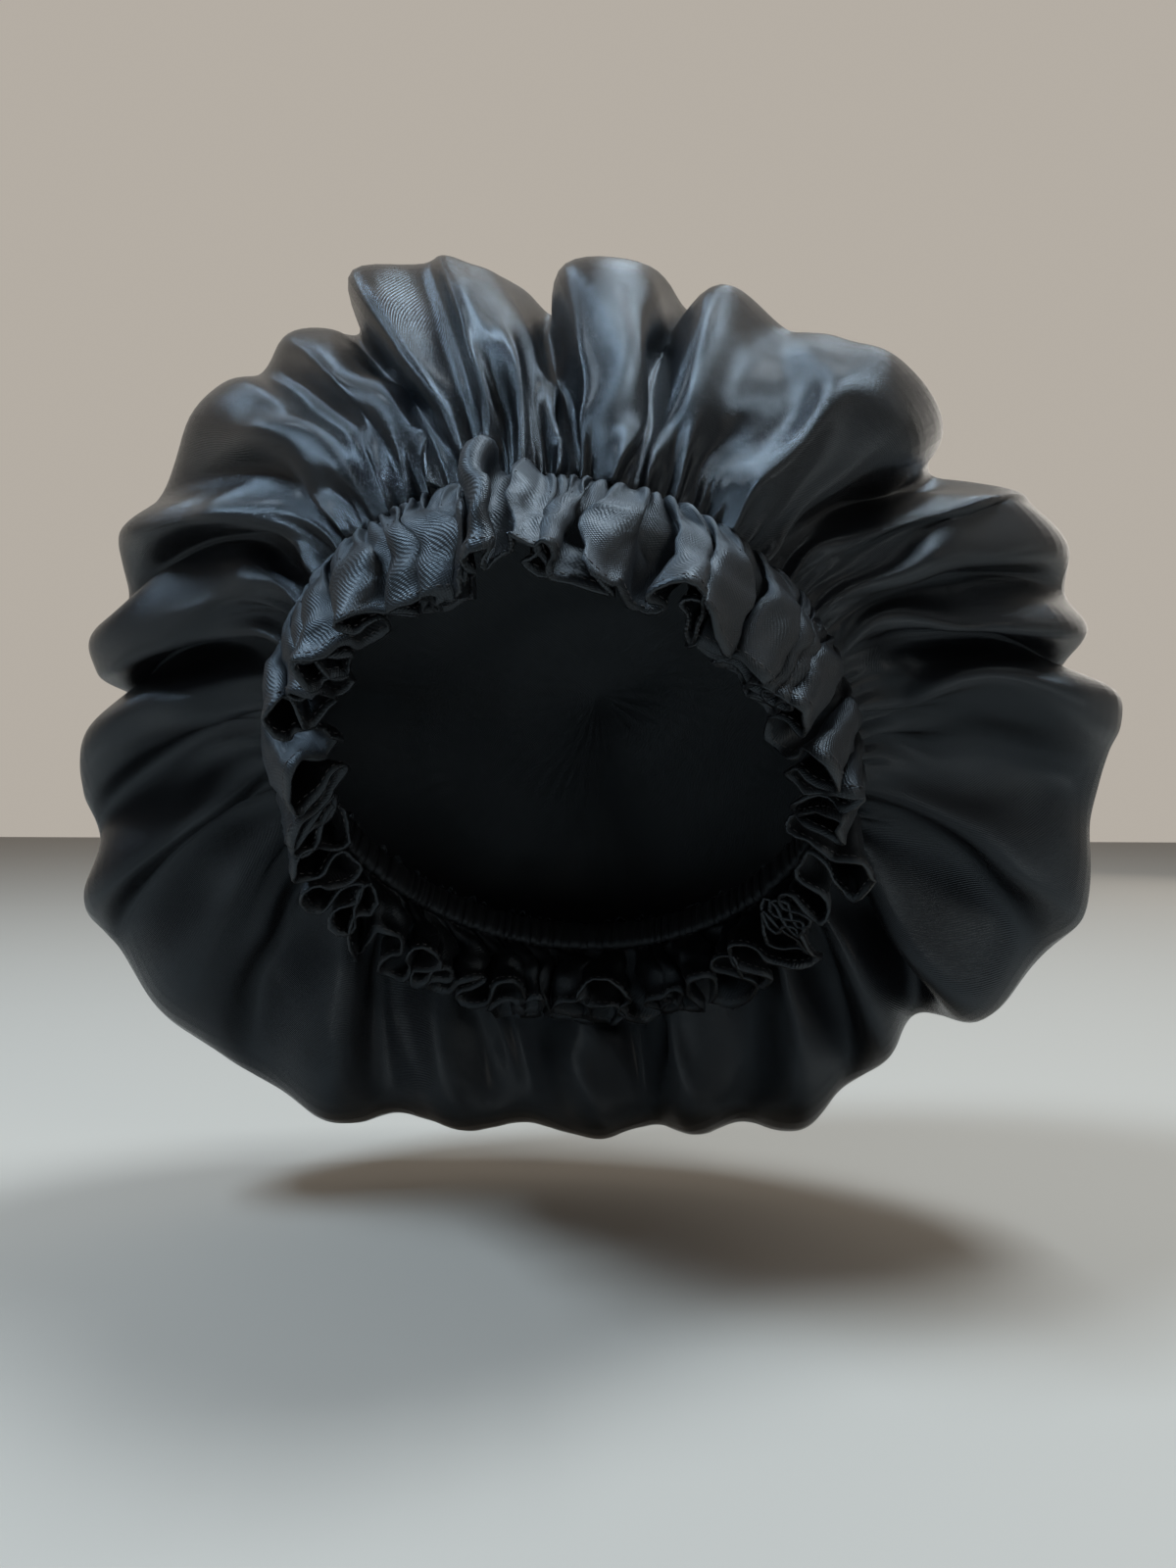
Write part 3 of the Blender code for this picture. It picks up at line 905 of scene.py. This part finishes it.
def make_satin(name, dark, light, roughness, weave_depth, sheen, gloss):
    """Makes a satin: near black, with a fine twill, soft clouding and a few bright threads."""
    material, tree, shader = new_finish(name)
    place = tree.add("ShaderNodeAttribute", {"attribute_name": "cut_place"}, {}, out=1)
    weave = twill(tree, place, 9000.0)
    cloud = tree.add("ShaderNodeTexNoise", {}, {"Vector": place, "Scale": 22.0, "Detail": 3.0})
    speck = tree.add("ShaderNodeTexNoise", {}, {"Vector": place, "Scale": 2600.0, "Detail": 1.0})
    colour = tree.add("ShaderNodeMix", {"data_type": "RGBA"},
                      {"Factor": cloud, 6: dark, 7: light}, out=2)
    tree.put(shader.inputs["Base Color"], colour)
    tree.put(shader.inputs["Roughness"], cloud * 0.10 + weave * 0.02 + (roughness - 0.05))
    bump = tree.add("ShaderNodeBump", {},
                    {"Strength": 0.5, "Distance": weave_depth, "Height": weave + speck * 1.2})
    tree.put(shader.inputs["Normal"], bump)
    for socket, value in (
        ("Specular IOR Level", 0.60),
        ("Specular Tint", (0.72, 0.87, 1.0, 1.0)),
        ("Sheen Weight", sheen),
        ("Sheen Roughness", 0.35),
        ("Sheen Tint", (0.75, 0.85, 1.0, 1.0)),
        ("Coat Weight", gloss),
        ("Coat Roughness", 0.22),
        ("Coat IOR", 1.45),
    ):
        shader.inputs[socket].default_value = value
    return material


def make_elastic_finish():
    """Makes the finish of the woven elastic: lengthwise ribs, matt black."""
    material, tree, shader = new_finish("elastic_woven")
    place = tree.add("ShaderNodeTexCoord", {}, {}, out=3)
    ribs = tree.add("ShaderNodeTexWave", {"wave_type": "BANDS", "bands_direction": "DIAGONAL"},
                    {"Vector": place, "Scale": 420.0, "Distortion": 0.4})
    colour = tree.add("ShaderNodeMix", {"data_type": "RGBA"},
                      {"Factor": ribs, 6: (0.014, 0.014, 0.015, 1), 7: (0.030, 0.030, 0.031, 1)}, out=2)
    tree.put(shader.inputs["Base Color"], colour)
    shader.inputs["Roughness"].default_value = 0.85
    bump = tree.add("ShaderNodeBump", {}, {"Strength": 0.5, "Distance": 0.0002, "Height": ribs})
    tree.put(shader.inputs["Normal"], bump)
    return material


def make_thread():
    """Makes the sewing thread's finish."""
    material, tree, shader = new_finish("thread_black")
    place = tree.add("ShaderNodeTexCoord", {}, {}, out=3)
    ply = tree.add("ShaderNodeTexNoise", {}, {"Vector": place, "Scale": 3000.0})
    colour = tree.add("ShaderNodeMix", {"data_type": "RGBA"},
                      {"Factor": ply, 6: (0.012, 0.012, 0.013, 1), 7: (0.05, 0.05, 0.055, 1)}, out=2)
    tree.put(shader.inputs["Base Color"], colour)
    shader.inputs["Roughness"].default_value = 0.45
    return material


def make_stitches(name, path, pitch, length, width, thread):
    """Makes a row of stitches along a closed path, with Geometry Nodes."""
    curve = bpy.data.curves.new(name, "CURVE")
    curve.dimensions = "3D"
    spline = curve.splines.new("POLY")
    spline.points.add(len(path) - 1)
    spline.points.foreach_set("co", np.hstack((path, np.ones((len(path), 1)))).ravel())
    spline.use_cyclic_u = True
    row = bpy.data.objects.new(name + "_row", curve)
    bpy.context.scene.collection.objects.link(row)
    group = bpy.data.node_groups.new(name, "GeometryNodeTree")
    sizes = {"Pitch": pitch, "Length": length, "Width": width}
    group.interface.new_socket("Geometry", in_out="INPUT", socket_type="NodeSocketGeometry")
    named = {
        label: group.interface.new_socket(label, in_out="INPUT", socket_type="NodeSocketFloat")
        for label in sizes
    }
    group.interface.new_socket("Geometry", in_out="OUTPUT", socket_type="NodeSocketGeometry")
    tree = Tree(group)
    source = group.nodes.new("NodeGroupInput")
    entry = {socket.name: Socket(tree, socket) for socket in source.outputs if socket.name}
    evenly = tree.add("GeometryNodeResampleCurve", {"mode": "LENGTH"},
                      {"Curve": entry["Geometry"], "Length": entry["Pitch"]})
    ball = tree.add("GeometryNodeMeshUVSphere", {}, {"Segments": 6, "Rings": 4, "Radius": 0.5})
    size = tree.add("ShaderNodeCombineXYZ", {}, {0: entry["Width"], 1: entry["Width"], 2: entry["Length"]})
    stitch = tree.add("GeometryNodeTransform", {}, {"Geometry": ball, "Scale": size})
    way = tree.add("GeometryNodeInputTangent")
    turned = tree.add("FunctionNodeAlignRotationToVector", {"axis": "Z"}, {"Vector": way})
    put = tree.add("GeometryNodeInstanceOnPoints", {},
                   {"Points": evenly, "Instance": stitch, "Rotation": turned})
    real = tree.add("GeometryNodeRealizeInstances", {}, {0: put})
    smooth = tree.add("GeometryNodeSetShadeSmooth", {}, {0: real})
    done = tree.add("GeometryNodeSetMaterial", {}, {"Geometry": smooth, "Material": thread})
    end = group.nodes.new("NodeGroupOutput")
    tree.put(end.inputs[0], done)
    nodes = row.modifiers.new("Stitches", "NODES")
    nodes.node_group = group
    for label, value in sizes.items():
        nodes[named[label].identifier] = value
    mesh = bpy.data.meshes.new_from_object(row.evaluated_get(bpy.context.evaluated_depsgraph_get()))
    bpy.data.objects.remove(row)
    sewn = bpy.data.objects.new(name, mesh)
    bpy.context.scene.collection.objects.link(sewn)
    return sewn


def make_room():
    """Makes the room's light: pale behind the bonnet, darker on the camera's side."""
    world = bpy.data.worlds.new("room")
    world.use_nodes = True
    tree = Tree(world.node_tree)
    way = tree.add("ShaderNodeTexCoord")
    parts = tree.add("ShaderNodeSeparateXYZ", {}, {"Vector": way})
    behind = Socket(tree, parts.output.node.outputs[1])
    share = tree.add("ShaderNodeMapRange", {"interpolation_type": "SMOOTHSTEP"},
                     {"Value": behind, "From Min": -0.3, "From Max": 0.7})
    colour = tree.add("ShaderNodeMix", {"data_type": "RGBA"},
                      {"Factor": share, 6: ROOM_DARK, 7: ROOM_PALE}, out=2)
    tree.put(world.node_tree.nodes["Background"].inputs["Color"], colour)
    return world


def make_stage():
    """Makes the plain floor, the lights and the camera."""
    bpy.ops.mesh.primitive_plane_add(size=6.0, location=(0.0, 0.0, -0.170))
    floor_plane = bpy.context.object
    floor_plane.name = "floor"
    paint, _, shader = new_finish("floor_pale")
    shader.inputs["Base Color"].default_value = (0.44, 0.40, 0.35, 1)
    shader.inputs["Roughness"].default_value = 0.8
    floor_plane.data.materials.append(paint)
    bpy.context.scene.world = make_room()
    for name, place, size, power, colour in (
        ("key", (-0.9, -0.45, 1.5), 0.40, 30.0, (0.64, 0.82, 1.0)),
        ("fill", (1.3, -1.2, 0.7), 0.5, 4.0, (1.0, 0.92, 0.82)),
        ("top", (0.50, 0.1, 1.6), 0.5, 26.0, (0.76, 0.89, 1.0)),
        ("back", (1.0, 1.5, 0.5), 0.8, 2.5, (1.0, 0.94, 0.86)),
    ):
        lamp = bpy.data.lights.new(name, "AREA")
        lamp.size = size
        lamp.energy = power
        lamp.color = colour
        light = bpy.data.objects.new(name, lamp)
        bpy.context.scene.collection.objects.link(light)
        light.location = place
        light.rotation_euler = (-Vector(place)).to_track_quat("-Z", "Y").to_euler()
    camera_data = bpy.data.cameras.new("camera")
    camera_data.sensor_width = 36.0
    camera_data.lens = 27.05
    camera_data.clip_start = 0.01
    camera = bpy.data.objects.new("camera", camera_data)
    bpy.context.scene.collection.objects.link(camera)
    camera.location = (0.0469, -0.3893, -0.009)
    camera.rotation_euler = (pi / 2, 0.0, radians(5.7))
    bpy.context.scene.camera = camera
    bpy.context.scene.view_settings.view_transform = "Standard"


def main():
    """Dresses the bonnet."""
    noise.seed_set(NOISE_SEED)
    make_stage()
    satin = make_satin("satin_face", (0.0030, 0.0031, 0.0036, 1), (0.0058, 0.0060, 0.0072, 1),
                       0.23, 0.00012, 0.01, 0.06)
    satin_back = make_satin("satin_back", (0.006, 0.006, 0.0065, 1), (0.009, 0.009, 0.010, 1),
                            0.46, 0.00012, 0.02, 0.04)
    # The ruffle's satin is the crown's satin with a darker base colour, which is painted shade for the shadow on
    # the ruffle, and with a rougher, less glossy finish
    satin_ruffle_shaded = make_satin("satin_ruffle_shaded", (0.0022, 0.0023, 0.0027, 1),
                                (0.0044, 0.0046, 0.0056, 1), 0.33, 0.00014, 0.01, 0.02)
    thread = make_thread()
    crown = make_crown(satin, satin_back)
    casing, casing_rings = make_casing(satin, satin_back)
    ruffle, ruffle_rings = make_ruffle(satin_ruffle_shaded, satin_back)
    for piece, node in ((crown, "crown"), (casing, "elastic_casing"), (ruffle, "ruffle")):
        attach(piece, "root")
        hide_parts(node)
    rows = []
    for name, ring, side, pitch in (
        ("stitches_crown_row", 1, 1.0, 0.0031),
        ("stitches_ruffle_row", CHANNEL_RINGS, 1.0, 0.0031),
        ("stitches_hem_face", len(ruffle_rings) - 2, HEM / SATIN, 0.0027),
        ("stitches_hem_back", len(ruffle_rings) - 2, -HEM / SATIN, 0.0027),
    ):
        path = ruffle_rings[ring] + facing(ruffle_rings, ring) * (side * SATIN / 2)
        rows.append((name, path, pitch, pitch * 0.72, 0.00042))
    sewn = {}
    for name, path, pitch, length, width in rows:
        sewn[name] = make_stitches(name, path, pitch, length, width, thread)
        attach(sewn[name], "root")
    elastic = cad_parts["elastic"]
    elastic.data.materials.clear()
    elastic.data.materials.append(make_elastic_finish())


main()
